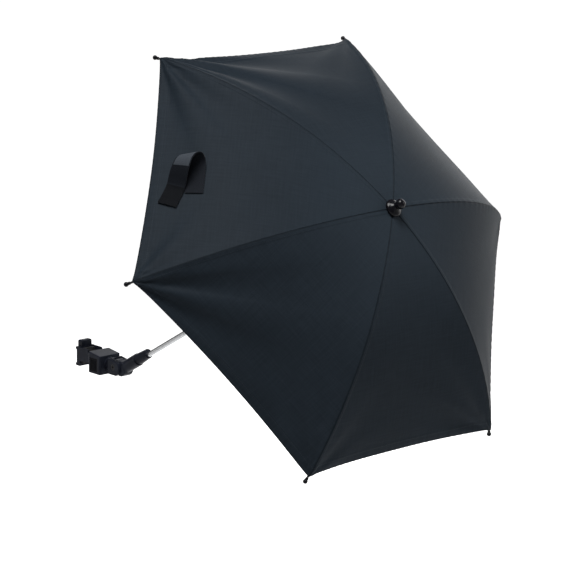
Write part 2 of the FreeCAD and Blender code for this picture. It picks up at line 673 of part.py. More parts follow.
def stretcher():
    """A straight bar: a fork on the rib's lug at x = 0 and a flat eye at x = arm length."""
    cheeks = []
    for side in (-1, 1):
        y = sorted((side * CHEEK_IN, side * CHEEK_OUT))
        cheeks.append(rod(LUG_R, Vector(0, y[0], 0), Y, CHEEK_OUT - CHEEK_IN))
        cheeks.append(box((0, 12), y, (-2.0, 2.0)))
    bridge = box((9, 12), (-CHEEK_OUT, CHEEK_OUT), (-2.0, 2.0))
    bar = rod(1.5, Vector(10, 0, 0), X, ARM_LENGTH - TAB_LENGTH - 10)
    tab = box((ARM_LENGTH - TAB_LENGTH - 3, ARM_LENGTH), (-EYE_T / 2, EYE_T / 2), (-1.8, 1.8))
    eye = across(EYE_R, ARM_LENGTH, 0, EYE_T / 2)
    rivet_hole = across(RIVET_R + RUN_CLEARANCE, 0, 0, 5)
    pin_hole = across(PIN_R + RUN_CLEARANCE, ARM_LENGTH, 0, 5)
    shape = fused(bridge, bar, tab, eye, *cheeks).cut([rivet_hole, pin_hole])
    fall = math.degrees(math.atan2(JOINT_Z - RUNNER_Z, JOINT_X - HINGE_RADIUS))
    shape.rotate(ORIGIN, Y, 180 - fall)
    shape.translate(Vector(JOINT_X, 0, JOINT_Z))
    return shape


def half_panel():
    """Fabric from a rib at azimuth 0 to the middle of the next panel.

    Between two ribs the cloth runs straight across, so each panel is a strip of an elliptical cylinder:
    radius r on the rib becomes r cos(half step) at mid panel, at the same height.
    """
    narrow = math.cos(math.radians(HALF_STEP))
    middle = Vector(0, 0, ARC_Z)
    arcs = []
    for radius in (FABRIC_R, FABRIC_R - FABRIC_T):
        curve = Part.Ellipse(middle + Z * radius, middle + X * radius * narrow, middle)
        ends = (middle + Z * radius, middle + Vector(radius * narrow * 0.8, 0, radius * 0.6))
        first, last = sorted(curve.parameter(p) for p in ends)
        arcs.append(Part.ArcOfEllipse(curve, first, last).toShape())
    joins = [Part.makeLine(arcs[0].Vertexes[i].Point, arcs[1].Vertexes[i].Point) for i in (0, 1)]
    strip = Part.Face(Part.Wire(Part.__sortEdges__(arcs + joins))).extrude(Y * -300)
    step = math.radians(HALF_STEP)
    mid_radius = TIP_RADIUS * narrow - HEM_INSET - (TIP_RADIUS - CORNER_RADIUS) * narrow
    corner = Vector(CORNER_RADIUS * math.cos(step), -CORNER_RADIUS * math.sin(step), 0)
    other = Vector(corner.x, -corner.y, 0)
    bow = Part.Arc(corner, Vector(mid_radius, 0, 0), other)
    gap = SECTOR_GAP / 2
    mid_edge = bow.value(bow.parameter(Vector(mid_radius, -gap, 0)))
    hem = Part.Arc(corner, bow.value((bow.parameter(corner) + bow.parameter(mid_edge)) / 2), mid_edge)
    inner = Vector(gap / math.tan(step), -gap, 0)
    outline = Part.Wire([hem.toShape(), Part.makeLine(mid_edge, inner), Part.makeLine(inner, corner)])
    cutter = Part.Face(outline).extrude(Z * 700)
    panel = strip.common(cutter).cut(rod(FABRIC_HOLE_R, ORIGIN, Z, 800))
    panel.rotate(ORIGIN, Z, HALF_STEP)
    return panel


def canopy_sector():
    half = half_panel()
    mirrored = half.mirror(ORIGIN, Y)
    return fused(half, mirrored)


def tie_strap():
    """A band along a path in its own x-z plane, with its width along y: a flat tab, then a loop."""
    half = STRAP_T / 2

    def loop_outline(inset):
        left, right = STRAP_LOOP_R + 2, STRAP_LOOP_L - STRAP_LOOP_R
        radius = STRAP_LOOP_R - inset
        centre = half + STRAP_LOOP_R
        corners = ((left, -radius), (right, -radius), (right, radius), (left, radius))
        points = [Vector(x, 0, centre + z) for x, z in corners]
        edges = [Part.makeLine(points[0], points[1]),
                 Part.Arc(points[1], Vector(right + radius, 0, centre), points[2]).toShape(),
                 Part.makeLine(points[2], points[3]),
                 Part.Arc(points[3], Vector(left - radius, 0, centre), points[0]).toShape()]
        return Part.Face(Part.Wire(edges)).extrude(Y * STRAP_W)

    loop = loop_outline(-half).cut(loop_outline(half))
    tab = box((-STRAP_TAB_L, STRAP_LOOP_R + 4), (0, STRAP_W), (0, STRAP_T))
    band = fused(loop, tab)
    band.translate(Vector(0, -STRAP_W / 2, 0))
    return band


def strap_place():
    """The strap's seat on its panel, in the parasol's frame: x towards the next rib up, z off the cloth."""
    narrow = math.cos(math.radians(HALF_STEP))
    mid = math.radians(rib_azimuth(STRAP_RIB) - HALF_STEP)
    a = math.radians(STRAP_AZIMUTH)
    out = Vector(math.cos(mid), math.sin(mid), 0)
    along = Vector(math.sin(mid), -math.cos(mid), 0)
    depth = STRAP_RADIUS * math.cos(a - mid)
    offset = -STRAP_RADIUS * math.sin(a - mid)
    height = math.sqrt(FABRIC_R ** 2 - (depth / narrow) ** 2)
    normal = (out * (depth / narrow ** 2) + Z * height).normalize()
    seat = out * depth + along * offset + Z * (ARC_Z + height) + normal * STRAP_LIFT
    width = normal.cross(along)
    return Placement(seat, Rotation(along, width, normal, "XZY"))


def placed_strap():
    strap = tie_strap()
    strap.Placement = strap_place()
    return strap


def main():
    save("clamp_body", clamp_body())
    save("clamp_cover", clamp_cover())
    save("cover_screws", cover_screws())
    save("clamp_jaw", clamp_jaw())
    save("jaw_pad", grip_pad(-1))
    save("body_pad", grip_pad(1))
    save("release_button", release_button())
    save("ratchet_pawl", ratchet_pawl())
    save("button_spring", button_spring())
    save("swivel_base", swivel_base())
    save("swivel_bolt", swivel_bolt())
    save("swivel_nut", hex_nut(NUT_R, BOLT_R, Vector(NUT_X[0], 0, SWIVEL_Z), X, NUT_X[1] - NUT_X[0]))
    save("knuckle_yoke", knuckle_yoke())
    save("tilt_bolt", tilt_bolt())
    save("tilt_nut", tilt_nut())
    save("tube_socket", on_shaft(tube_socket()))
    save("socket_screw", on_shaft(socket_screw()))
    save("shaft_tube", on_shaft(shaft_tube()))
    save("shaft_plug", on_shaft(shaft_plug()))
    save("runner_catches", on_shaft(runner_catches()))
    save("top_notch", on_shaft(top_notch()))
    save("notch_pins", on_shaft(notch_pins()))
    save("ferrule_cap", on_shaft(ferrule_cap()))
    save("cap_screw", on_shaft(cap_screw()))
    save("runner", on_shaft(runner()))
    save("tie_strap", on_shaft(placed_strap()))
    repeated = {"rib": rib(), "rib_rivet": rib_rivet(), "rib_tip": rib_tip(), "stretcher": stretcher(),
                "canopy_sector": canopy_sector()}
    for number in range(1, RIBS + 1):
        for name, shape in repeated.items():
            save(name + "_" + str(number), at_azimuth(shape, rib_azimuth(number)))
    print("linkage: notch", round(NOTCH_Z, 3), "joint", round(JOINT_X, 3), round(JOINT_Z, 3),
          "runner", round(RUNNER_Z, 3), "arm", round(ARM_LENGTH, 3))


main()
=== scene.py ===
import json
import math

import bpy
import numpy as np
from mathutils import Matrix, Vector


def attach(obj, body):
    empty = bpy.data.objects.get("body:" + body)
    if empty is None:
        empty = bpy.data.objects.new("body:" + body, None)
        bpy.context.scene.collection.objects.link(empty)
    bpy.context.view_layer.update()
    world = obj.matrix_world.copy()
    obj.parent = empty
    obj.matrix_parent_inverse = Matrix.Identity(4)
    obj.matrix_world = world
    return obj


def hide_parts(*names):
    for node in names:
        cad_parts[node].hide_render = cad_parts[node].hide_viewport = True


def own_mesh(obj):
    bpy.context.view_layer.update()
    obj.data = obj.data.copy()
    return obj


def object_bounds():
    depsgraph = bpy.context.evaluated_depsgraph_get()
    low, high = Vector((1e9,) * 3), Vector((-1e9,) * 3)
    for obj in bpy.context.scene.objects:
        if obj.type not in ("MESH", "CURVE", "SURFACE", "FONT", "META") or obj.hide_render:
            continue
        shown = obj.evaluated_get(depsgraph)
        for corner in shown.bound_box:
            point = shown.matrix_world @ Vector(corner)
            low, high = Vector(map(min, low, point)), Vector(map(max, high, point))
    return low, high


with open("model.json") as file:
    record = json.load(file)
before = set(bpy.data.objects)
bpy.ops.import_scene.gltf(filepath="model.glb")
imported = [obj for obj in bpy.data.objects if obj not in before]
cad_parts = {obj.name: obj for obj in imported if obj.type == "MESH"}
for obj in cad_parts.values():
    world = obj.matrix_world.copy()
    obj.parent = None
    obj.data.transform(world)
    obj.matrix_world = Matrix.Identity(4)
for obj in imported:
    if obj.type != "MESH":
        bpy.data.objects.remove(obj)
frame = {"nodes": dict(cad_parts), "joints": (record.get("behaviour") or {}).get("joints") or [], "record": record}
CAD_BOX = [list(corner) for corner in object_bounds()]

# The parasol's own frame, read from the joints: z along the shaft from a base point, x to the low side
RIBS = 6
JOINTS = {joint["name"]: joint for joint in frame["joints"]}
FOLDS = {k: JOINTS["canopy_fold" if k == 1 else f"rib_{k}_fold"] for k in range(1, RIBS + 1)}
SHAFT = -np.array(JOINTS["runner_slide"]["axis"])
SHAFT_PITCH = math.atan2(SHAFT[2], SHAFT[0])
SIDE = np.array([0.0, 1.0, 0.0])
LOW = np.cross(SIDE, SHAFT)
HINGE_HEIGHT = 0.627
BASE = np.mean([fold["pos_m"] for fold in FOLDS.values()], 0) - HINGE_HEIGHT * SHAFT

# Canopy and ribs, in metres
HALF_STEP = math.pi / RIBS
NARROW = math.cos(HALF_STEP)
SPREAD = math.tan(HALF_STEP)
TIP_RADIUS = 0.350
TIP_HEIGHT = 0.482
RIB_RISE = 0.147
RIB_R = (TIP_RADIUS ** 2 + RIB_RISE ** 2) / (2 * RIB_RISE)
ARC_Z = TIP_HEIGHT + RIB_RISE - RIB_R
FABRIC_OVER_RIB = 0.0027
FABRIC_R = RIB_R + FABRIC_OVER_RIB
FABRIC_T = 0.0006
FABRIC_HOLE = 0.0055
CORNER_RADIUS = 0.3462
HEM_RHO = CORNER_RADIUS * NARROW
SAG = 0.0052
SAG_LIMIT = 1.1
NEARLY_ZERO = 1e-6

# Length along the middle of a panel: the reach of its table, over the tips' distance, and its points
ARC_REACH = 1.02
ARC_POINTS = 400

# Tension wrinkles at each panel's two corners: height, number of ridges from rib to hem, phase and
# reach, in metres. The first of a pair belongs to the corner at the panel's lower azimuth.
WRINKLES = {
    0: ((0.0009, 1.5, 0.1, 0.050), (0.0020, 2.0, 0.45, 0.075)),
    1: ((0.0008, 1.5, 0.6, 0.045), (0.0010, 1.6, 0.2, 0.050)),
    2: ((0.0008, 1.6, 0.3, 0.045), (0.0012, 1.8, 0.7, 0.055)),
    3: ((0.0016, 1.8, 0.5, 0.055), (0.0034, 2.2, 0.2, 0.070)),
    4: ((0.0030, 1.8, 0.35, 0.060), (0.0020, 1.5, 0.8, 0.050)),
    5: ((0.0034, 2.2, 0.15, 0.075), (0.0018, 2.0, 0.6, 0.065)),
}
RIDGE_POWER = 0.8
FAN_POWER = 0.7

# Slow waves of loose cloth: share of the height, radians per metre out and along, and turn per panel
SLACK = 0.0005
SLACK_WAVES = ((1.0, 21, 9, 1.7), (0.7, -13, 34, 3.91), (0.5, 47, 17, 1.02))

# How far each panel's hem is cut in at its middle, and drawn in beside its two corners, in metres
HEMS = {
    0: (0.0018, 0.0014, 0.0019),
    1: (0.0030, 0.0040, 0.0040),
    2: (0.0030, 0.0040, 0.0040),
    3: (0.0030, 0.0060, 0.0060),
    4: (0.0035, 0.0002, 0.0010),
    5: (0.0040, 0.0014, -0.0010),
}
CORNER_REACH = 0.05

# Seams and hems, in metres. Puckers are a height, a reach, and the pitch, sway and wander of their wave.
SEAM_W = 0.0065
SEAM_LAP = 0.00035
SEAM_GROOVE = 0.0005
SEAM_STITCH_IN = 0.0013
SEAM_PUCKER = 0.00022
SEAM_PUCKER_REACH = 0.006
SEAM_PUCKER_WAVE = (0.013, 1.3, 61)
HEM_W = 0.0095
HEM_FOLD = 0.00040
HEM_GROOVE = 0.00025
HEM_STITCH_IN = 0.0018
HEM_PUCKER = 0.00025
HEM_PUCKER_REACH = 0.010
HEM_PUCKER_WAVE = (0.011, 0.9, 83)
GROOVE_HALF_W = 0.0007
FOLD_SOFTNESS = 0.00022

# Grid of half a sector: rows down to the hem's band, lines at set distances from the hem and from the
# seam, and columns on to a little past the middle of the panel, as shares of what is left. Near the
# crown, where the panel is narrow, the seam's lines keep to shares of its half width.
BODY_ROWS = 112
ROW_CROWDING = 0.85
HEM_BAND = 0.016
HEM_LINES = np.array([
    0.0, 0.0002, 0.0006, 0.0014, 0.0026, 0.0042, 0.0060,
    0.0074, 0.0080, 0.0086, 0.0092, 0.0098, 0.0106, 0.0120,
])
SEAM_LINES = np.array([0.0003, 0.0007, 0.0012, 0.0020, 0.0035, 0.0050, 0.0060, 0.0066, 0.0074, 0.0100])
SEAM_SHARES = np.linspace(0.05, 0.5, len(SEAM_LINES))
MIDDLE_SHARES = np.append(np.linspace(0.06, 1, 38), 1.012)
PANEL_PITCH = 1.0

# Strap, in metres. It lies on one panel and folds with one rib.
STRAP_RIB = 5
STRAP_PANEL = 4
STRAP_RHO = 0.2622
STRAP_S = 0.0305
STRAP_W = 0.025
STRAP_T = 0.0012
STRAP_ROWS = 150
STRAP_COLUMNS = 21
STRAP_CURL = 0.0006
STRAP_SLANT = 0.28
SLANT_START = 0.045
SLANT_RUN = 0.045
STRAP_LEAN = (0.0070, 0.0030, 0.0020)
STRAP_LEAN_REACH = 0.030
TAB_FOLD = 0.0007
TAB_FOLD_RUN = 0.0075
TAB_FOLD_SOFTNESS = 0.0003
TAB_GROOVE = 0.0004
TAB_GROOVE_IN = 0.0060
TAB_GROOVE_HALF_W = 0.0005
# Patch over the top of the loop, with the fuzz of loop tape and a painted highlight: run, half width, edges
PILE_HIGHLIGHT_RUN = (0.067, 0.094)
PILE_HIGHLIGHT_HALF_W = 0.0108
PILE_HIGHLIGHT_END_EDGE = 0.001
PILE_HIGHLIGHT_SIDE_EDGE = 0.0006
HOOK_RUN = 0.124
HOOK_EDGE = 0.0008

# Course of the band's middle line over the cloth, in millimetres: along the hem, down the cloth, height.
# It is sewn down at the first knot, lies on the cloth, turns over into the loop and ends in a loose tab.
STRAP_COURSE = (
    (-8, -14, 0.9), (2, -14, 0.9), (14, -14, 1.3), (26, -14, 2.2), (37, -13.6, 5), (44.5, -11.5, 11.5),
    (46, -7.5, 19), (41.5, -2.5, 25.5), (33.5, 1.5, 27), (24, 4.3, 23.5), (15, 6.8, 16.5), (7, 9, 9),
    (0, 11, 4), (-8, 13.4, 2.6), (-17, 16.3, 2.4), (-27, 19.5, 2.2),
)

# Ferrule, in metres
CAP_BORE_R = 0.0042
CAP_FOOT_UP = 0.0005
CAP_FLARE_R = 0.0125
CAP_KNOB_R = 0.0070
CAP_KNOB_UP = 0.1660
CAP_BALL_ARC = (math.radians(-46), math.radians(89))
CAP_BALL_ROWS = 30
CAP_AROUND = 96

# Yarns and threads, in metres, and unevenness of the yarn across and along its run, per metre
YARN_PITCH = 0.00055
YARN_UNEVEN = (420.0, 26.0)
TWILL_PITCH = 0.0011
STITCH_PITCH = 0.0028
THREAD_EDGE = (0.00018, 0.00042)
# Painted shade: widths over which it fades out from the seams' creases and from the hem's folded edge
CREASE_SHADE_EDGE = (0.0003, 0.0021)
HEM_SHADE_EDGE = (0.0002, 0.0022)
# Reach of the painted highlight that pales the cloth towards the crown, in metres from the shaft's axis
CROWN_HIGHLIGHT_FADE = (0.04, 0.20)

# Colours, as linear red, green and blue
CLOTH_DARK = (0.0148, 0.0205, 0.0272)
CLOTH_LIGHT = (0.0254, 0.0350, 0.0465)
# Painted highlight: the colour the cloth pales towards over the crown
CLOTH_CROWN_HIGHLIGHT = (0.046, 0.062, 0.080)
# Painted shade: the colour that the seams' creases and the hem's folded edge darken towards
CLOTH_CREASE_SHADE = (0.0050, 0.0070, 0.0095)
THREAD = (0.034, 0.042, 0.052)
BAND_DARK = (0.0076, 0.0092, 0.0127)
BAND_LIGHT = (0.0146, 0.0175, 0.0235)
HOOK_DARK = (0.0026, 0.0032, 0.0046)
HOOK_LIGHT = (0.0058, 0.0070, 0.0096)
# Painted highlight: the light grey of the patch over the top of the loop
PILE_HIGHLIGHT_DARK = (0.040, 0.047, 0.057)
PILE_HIGHLIGHT_LIGHT = (0.086, 0.099, 0.118)
TUBE_DARK = (0.50, 0.51, 0.52)
TUBE_LIGHT = (0.74, 0.75, 0.76)
ZINC_DARK = (0.42, 0.42, 0.43)
ZINC_LIGHT = (0.62, 0.62, 0.64)
WIRE_DARK = (0.008, 0.008, 0.009)
WIRE_LIGHT = (0.026, 0.026, 0.028)
RUBBER_DARK = (0.016, 0.016, 0.017)
RUBBER_LIGHT = (0.05, 0.05, 0.052)
PAPER_DARK = (0.90, 0.90, 0.90)
PAPER_LIGHT = (0.93, 0.93, 0.93)
GLOW_FULL = (1.0, 1.0, 1.0)
GLOW_DIM = (0.25, 0.25, 0.25)

# Moulded plastics: dark and light colour, roughness, depth of grain in metres, shine and coat
PLASTICS = {
    "black_plastic": ((0.0100, 0.0116, 0.0175), (0.0200, 0.0232, 0.0340), 0.30, 0.00006, 0.08, 0.0),
    "button_plastic": ((0.0024, 0.0027, 0.0044), (0.0052, 0.0058, 0.0090), 0.30, 0.00003, 0.05, 0.0),
    "gloss_plastic": ((0.004, 0.004, 0.006), (0.008, 0.008, 0.011), 0.16, 0.00002, 0.18, 0.12),
    "runner_plastic": ((0.012, 0.012, 0.013), (0.024, 0.024, 0.026), 0.36, 0.00006, 0.45, 0.0),
}

# Camera: fitted to the photograph's view, as position, heading, pitch and roll
CAMERA_AT = (3.0056, -2.3730, 0.9696)
CAMERA_AZIMUTH = math.radians(47.196)
CAMERA_PITCH = math.radians(12.709)
CAMERA_ROLL = math.radians(0.789)
CAMERA_LENS = 159.33
CAMERA_CLIP = 60
SENSOR = 36.0

# Room: the floor glows fully up to the first of two distances towards the camera and dimly beyond the
# second. Soft boxes: place, aim, width in metres, power in watts and spread in degrees.
FLOOR_BELOW = 0.75
FLOOR_HALF = 30
GLOW_EDGE = (-0.9, -0.1)
SKY_STRENGTH = 0.08
CANOPY_MIDDLE = (0.5, 0, 0.25)
CLAMP_MIDDLE = (0, 0, 0)
SOFTBOXES = {
    "over": ((0.95, -0.93, 3.07), CANOPY_MIDDLE, 1.8, 14.3, 60),
    "behind": ((-0.40, 2.76, 0.91), CANOPY_MIDDLE, 1.8, 22, 180),
    "edge": ((-1.31, 1.99, 1.58), CANOPY_MIDDLE, 0.9, 5, 180),
    "right": ((2.30, 2.10, 1.45), CANOPY_MIDDLE, 1.8, 14, 180),
    "sweep": ((-2.5, 1.9, 0.75), CLAMP_MIDDLE, 2.4, 14, 180),
}

# A Mix node's two colour inputs and its colour output, by number, because its sockets share their names
MIX_COLOURS = (6, 7)
MIX_RESULT = 2


# Shader maths


class Number:
    """A value worked out over a surface. Arithmetic on it adds Math nodes to its finish."""

    def __init__(self, finish, socket):
        self.finish = finish
        self.socket = socket

    def maths(self, operation, *others):
        return self.finish.node("ShaderNodeMath", {"operation": operation}, self, *others)

    def __add__(self, other):
        return self.maths("ADD", other)

    def __sub__(self, other):
        return self.maths("SUBTRACT", other)

    def __mul__(self, other):
        return self.maths("MULTIPLY", other)

    def __truediv__(self, other):
        return self.maths("DIVIDE", other)

    def __rsub__(self, other):
        return self.finish.node("ShaderNodeMath", {"operation": "SUBTRACT"}, other, self)

    __radd__ = __add__
    __rmul__ = __mul__

    def sine(self):
        return self.maths("SINE")

    def size(self):
        return self.maths("ABSOLUTE")

    def most(self, other):
        return self.maths("MAXIMUM", other)

    def wrapped(self, period):
        return self.maths("WRAP", period, 0.0)

    def step(self, low, high):
        """0 below low, 1 above high, smooth between them."""
        settings = {"interpolation_type": "SMOOTHSTEP"}
        return self.finish.node("ShaderNodeMapRange", settings, self, low, high, 0.0, 1.0)

    def within(self, low, high, edge):
        """1 from low to high and 0 outside, with a smooth edge of a set width on either side."""
        return self.step(low - edge, low) * (1.0 - self.step(high, high + edge))


class Finish:
    """A material made of nodes round one Principled shader."""

    def __init__(self, name, **constants):
        self.material = bpy.data.materials.new(name)
        self.material.use_nodes = True
        self.tree = self.material.node_tree
        self.shader = self.tree.nodes["Principled BSDF"]
        self.surface(**constants)

    def node(self, kind, settings=None, *inputs, out=0, **named):
        """Adds a node: its type, its settings, then its sockets' values or links, in order or by name."""
        made = self.tree.nodes.new(kind)
        for key, value in (settings or {}).items():
            setattr(made, key, value)
        for number, value in enumerate(inputs):
            self.feed(made.inputs[number], value)
        for label, value in named.items():
            self.feed(made.inputs[label], value)
        return Number(self, made.outputs[out])

    def feed(self, socket, value):
        if isinstance(value, Number):
            self.tree.links.new(value.socket, socket)
        else:
            socket.default_value = value

    def place(self):
        return self.node("ShaderNodeTexCoord", out="Object")

    def parts(self, vector):
        """The first two numbers of a vector."""
        split = self.node("ShaderNodeSeparateXYZ", None, vector)
        return split, Number(self, split.socket.node.outputs[1])

    def uv(self, layer):
        """The two numbers of a UV map, which holds metres across and along the cloth."""
        return self.parts(self.node("ShaderNodeUVMap", {"uv_map": layer}))

    def point(self, x, y):
        return self.node("ShaderNodeCombineXYZ", None, x, y)

    def noise(self, where, scale, detail=2.0, roughness=0.5):
        values = {"Vector": where, "Scale": scale, "Detail": detail, "Roughness": roughness}
        return self.node("ShaderNodeTexNoise", None, **values)

    def stretched(self, where, scale):
        return self.node("ShaderNodeMapping", None, Vector=where, Scale=scale)

    def turned(self, where, angles):
        return self.node("ShaderNodeMapping", None, Vector=where, Rotation=angles)

    def stitches(self, off, along):
        """A row of stitches: 1 within a thread's width of off = 0, for two thirds of each pitch along."""
        row = 1.0 - off.size().step(*THREAD_EDGE)
        dash = 1.0 - ((along / STITCH_PITCH).wrapped(1.0) - 0.5).size().step(0.30, 0.38)
        return row * dash

    def tint(self, mask, first, second):
        """Mixes two colours by a mask. A colour is three numbers or another mix."""
        mixed = self.node("ShaderNodeMix", {"data_type": "RGBA"}, mask, out=MIX_RESULT)
        for number, colour in zip(MIX_COLOURS, (first, second)):
            value = colour if isinstance(colour, Number) else (*colour, 1.0)
            self.feed(mixed.socket.node.inputs[number], value)
        return mixed

    def relief(self, height, distance, strength):
        normal = self.node("ShaderNodeBump", None, Height=height, Distance=distance, Strength=strength)
        self.surface(Normal=normal)

    def surface(self, **values):
        """Sets or links the shader's sockets, named with low lines for spaces."""
        for label, value in values.items():
            self.feed(self.shader.inputs[label.replace("_", " ")], value)
        return self.material


# Finishes


def canopy_cloth():
    """Fine plain weave of dull black yarn, a little uneven, with a painted highlight that pales it over the
    crown. Painted shade darkens the seams' creases and the hem's folded edge, and rows of stitches run along
    the seams' laps and the hems."""
    f = Finish("canopy_cloth", Specular_IOR_Level=0.05)
    across, along = f.uv("Weave")
    seam, hem = f.uv("Edges")
    turns = math.pi / YARN_PITCH
    weave = (across * turns).sine() * (along * turns).sine()
    fine, coarse = YARN_UNEVEN
    warp = f.noise(f.point(across * fine, along * coarse), 1.0)
    weft = f.noise(f.point(across * coarse, along * fine), 1.0)
    yarn = warp + weft
    cloud = f.noise(f.point(across, along), 9.0, 3.0)
    tone = (weave * 0.10 + yarn * 0.45 + cloud * 0.35 - 0.2).step(0.0, 1.0)
    seam_row = f.stitches(seam - (SEAM_W - SEAM_STITCH_IN), along)
    stitch = seam_row.most(f.stitches(hem - (HEM_W - HEM_STITCH_IN), across))
    # Painted shade in the seams' creases and along the hem's folded edge
    valley_shade = 1.0 - seam.size().step(*CREASE_SHADE_EDGE)
    edge = 1.0 - hem.step(*HEM_SHADE_EDGE)
    # Painted highlight: the cloth is paler towards the crown
    crown = 1.0 - along.step(*CROWN_HIGHLIGHT_FADE)
    cloth = f.tint(tone, CLOTH_DARK, CLOTH_LIGHT)
    cloth = f.tint(crown * 0.30, cloth, CLOTH_CROWN_HIGHLIGHT)
    cloth = f.tint(valley_shade * 0.55 + edge * 0.25, cloth, CLOTH_CREASE_SHADE)
    colour = f.tint(stitch * 0.55, cloth, THREAD)
    f.relief(weave * 0.5 + yarn * 0.35 + stitch * 2.5, 0.00012, 0.35)
    return f.surface(Base_Color=colour, Roughness=0.50 + cloud * 0.10 + weave * 0.03)


def strap_cloth():
    """Heavier black twill. Over the top of the loop lies a patch with the fuzz of loop tape, its light grey
    a painted highlight. The tab is hook tape."""
    f = Finish("strap_cloth", Specular_IOR_Level=0.08, Sheen_Weight=0.16, Sheen_Roughness=0.30)
    across, along = f.uv("Weave")
    twill = ((across + along) * (2 * math.pi / TWILL_PITCH)).sine()
    fuzz = f.noise(f.point(across, along), 700.0, 3.0)
    shade = (twill * 0.25 + fuzz).step(0.1, 0.9)
    # Painted highlight over the top of the loop, where the patch also has the fuzz of loop tape
    side = 1.0 - across.size().step(PILE_HIGHLIGHT_HALF_W, PILE_HIGHLIGHT_HALF_W + PILE_HIGHLIGHT_SIDE_EDGE)
    pile_and_highlight = along.within(*PILE_HIGHLIGHT_RUN, PILE_HIGHLIGHT_END_EDGE) * side
    hooks = along.step(HOOK_RUN, HOOK_RUN + HOOK_EDGE)
    band = f.tint(shade, BAND_DARK, BAND_LIGHT)
    band = f.tint(hooks, band, f.tint(shade, HOOK_DARK, HOOK_LIGHT))
    colour = f.tint(pile_and_highlight, band, f.tint(fuzz, PILE_HIGHLIGHT_DARK, PILE_HIGHLIGHT_LIGHT))
    f.relief(twill * 0.5 + fuzz * 0.6 + pile_and_highlight * (0.6 + fuzz * 2.0) + hooks * 1.5, 0.00025, 0.5)
    return f.surface(Base_Color=colour, Roughness=0.62 + fuzz * 0.12 + pile_and_highlight * 0.15)


def moulded(name, dark, light, roughness, grain, shine, coat):
    """Moulded plastic: fine spark-eroded grain, soft blotches of gloss and a few light scuffs."""
    f = Finish(name, Specular_IOR_Level=shine, Coat_Roughness=0.12, Coat_Weight=coat)
    where = f.place()
    fine = f.noise(where, 2200.0, roughness=0.6)
    patch = f.noise(where, 38.0, 3.0)
    scuff = f.noise(f.stretched(where, (1.0, 6.0, 3.0)), 130.0, 3.0, 0.65).step(0.64, 0.74)
    f.relief(fine + scuff * 0.25, grain, 0.45)
    colour = f.tint((patch * 0.8 + fine * 0.2).step(0.25, 0.8), dark, light)
    return f.surface(Base_Color=colour, Roughness=(roughness - 0.06) + patch * 0.12 + scuff * 0.08)


def anodised():
    """Satin anodised tube with drawing lines along it."""
    f = Finish("anodised_tube", Metallic=1.0)
    where = f.place()
    level = f.turned(where, (0.0, SHAFT_PITCH, 0.0))
    lines = f.noise(f.stretched(level, (14.0, 1900.0, 1900.0)), 1.0, 3.0, 0.6)
    cloud = f.noise(where, 60.0)
    f.relief(lines, 0.00003, 0.35)
    colour = f.tint((lines * 0.7 + cloud * 0.3).step(0.25, 0.75), TUBE_DARK, TUBE_LIGHT)
    return f.surface(Base_Color=colour, Roughness=0.24 + lines * 0.14)


def plated_steel():
    """Plated steel: clouded zinc with faint rub marks."""
    f = Finish("plated_steel", Metallic=1.0)
    where = f.place()
    cloud = f.noise(where, 420.0, 3.0)
    rub = f.noise(f.stretched(where, (1.0, 9.0, 1.0)), 600.0)
    f.relief(cloud + rub, 0.00002, 0.4)
    return f.surface(Base_Color=f.tint(cloud, ZINC_DARK, ZINC_LIGHT), Roughness=0.28 + rub * 0.16)


def coated_wire():
    """Black dip-coated spring wire, slightly lumpy and satin."""
    f = Finish("coated_wire", Specular_IOR_Level=0.2)
    lump = f.noise(f.place(), 900.0)
    f.relief(lump, 0.00006, 0.5)
    return f.surface(Base_Color=f.tint(lump, WIRE_DARK, WIRE_LIGHT), Roughness=0.30 + lump * 0.2)


def grip_rubber():
    """Matt grey-black rubber with a dusty bloom."""
    f = Finish("grip_rubber", Specular_IOR_Level=0.3)
    where = f.place()
    bloom = f.noise(where, 160.0, 4.0, 0.65)
    f.relief(f.noise(where, 1800.0), 0.00008, 0.5)
    colour = f.tint(bloom.step(0.3, 0.8), RUBBER_DARK, RUBBER_LIGHT)
    return f.surface(Base_Color=colour, Roughness=0.72 + bloom * 0.15)


def backlit_paper():
    """White paper, lit from below: fully behind the part, as the camera sees it, and less elsewhere."""
    f = Finish("floor", Specular_IOR_Level=0.1, Emission_Strength=1.0)
    where = f.place()
    x, y = f.parts(where)
    ahead = x * math.sin(CAMERA_AZIMUTH) - y * math.cos(CAMERA_AZIMUTH)
    colour = f.tint(f.noise(where, 3.0), PAPER_DARK, PAPER_LIGHT)
    glow = f.tint(ahead.step(*GLOW_EDGE), GLOW_FULL, GLOW_DIM)
    return f.surface(Base_Color=colour, Roughness=0.85, Emission_Color=glow)


# Mesh building


def to_part(points):
    """Takes points from the parasol's frame to the part's frame."""
    return BASE + points[..., 0:1] * LOW + points[..., 1:2] * SIDE + points[..., 2:3] * SHAFT


def grid_faces(rows, columns, closed=False):
    """Corner numbers of the quads of a grid whose points run row by row. Closed joins the last column to
    the first."""
    across = columns if closed else columns - 1
    i, j = np.meshgrid(np.arange(rows - 1), np.arange(across), indexing="ij")
    right = (j + 1) % columns
    here = i * columns
    below = here + columns
    return np.stack([here + j, here + right, below + right, below + j], -1).reshape(-1, 4)


def new_piece(name, points, faces, material):
    """A smooth object at the origin from an array of points and a list of faces."""
    corners = [list(map(int, face)) for face in faces]
    mesh = bpy.data.meshes.new(name)
    mesh.from_pydata(np.asarray(points).reshape(-1, 3).tolist(), [], corners)
    mesh.polygons.foreach_set("use_smooth", np.ones(len(mesh.polygons), bool))
    mesh.materials.append(material)
    piece = bpy.data.objects.new(name, mesh)
    bpy.context.scene.collection.objects.link(piece)
    return piece


def unit(vectors):
    return vectors / np.maximum(np.linalg.norm(vectors, axis=-1, keepdims=True), 1e-12)


def normals_of(points):
    """Unit normals of a grid of points, from the cross product of its central differences."""
    return unit(np.cross(np.gradient(points, axis=1), np.gradient(points, axis=0)))


